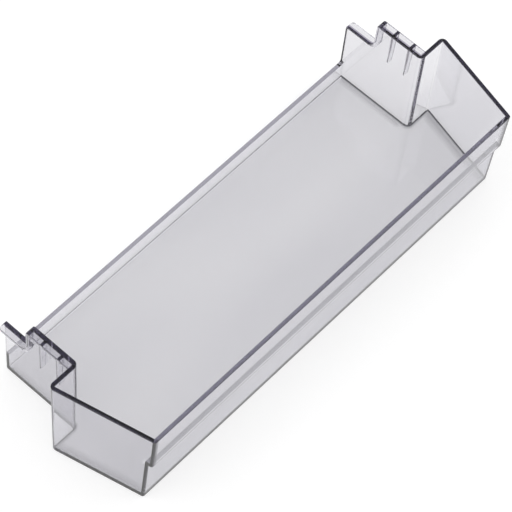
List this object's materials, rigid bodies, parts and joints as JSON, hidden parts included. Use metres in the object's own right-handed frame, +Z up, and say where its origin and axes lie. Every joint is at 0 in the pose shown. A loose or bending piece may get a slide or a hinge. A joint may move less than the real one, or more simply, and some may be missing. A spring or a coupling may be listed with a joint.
{
  "type": "refrigerator door shelf",
  "caption": "Clear moulded tray for a refrigerator door, with a wider front bay, a proud front band, a low rear wall and stepped, flanged, ribbed ends that hang on the door.",
  "frame": {"origin": "middle of the outline's box in plan, on the flat underside that the shelf stands on", "axes": "+X along the shelf to the right-hand hook, +Y from the front band to the refrigerator door, +Z up"},
  "size_m": [0.4476, 0.1604, 0.096],
  "materials": {
    "clear_plastic": "clear, slightly smoky and faintly violet, polished mould surface"
  },
  "bodies": {
    "root": {"door_shelf": "clear_plastic"}
  },
  "joints": []
}
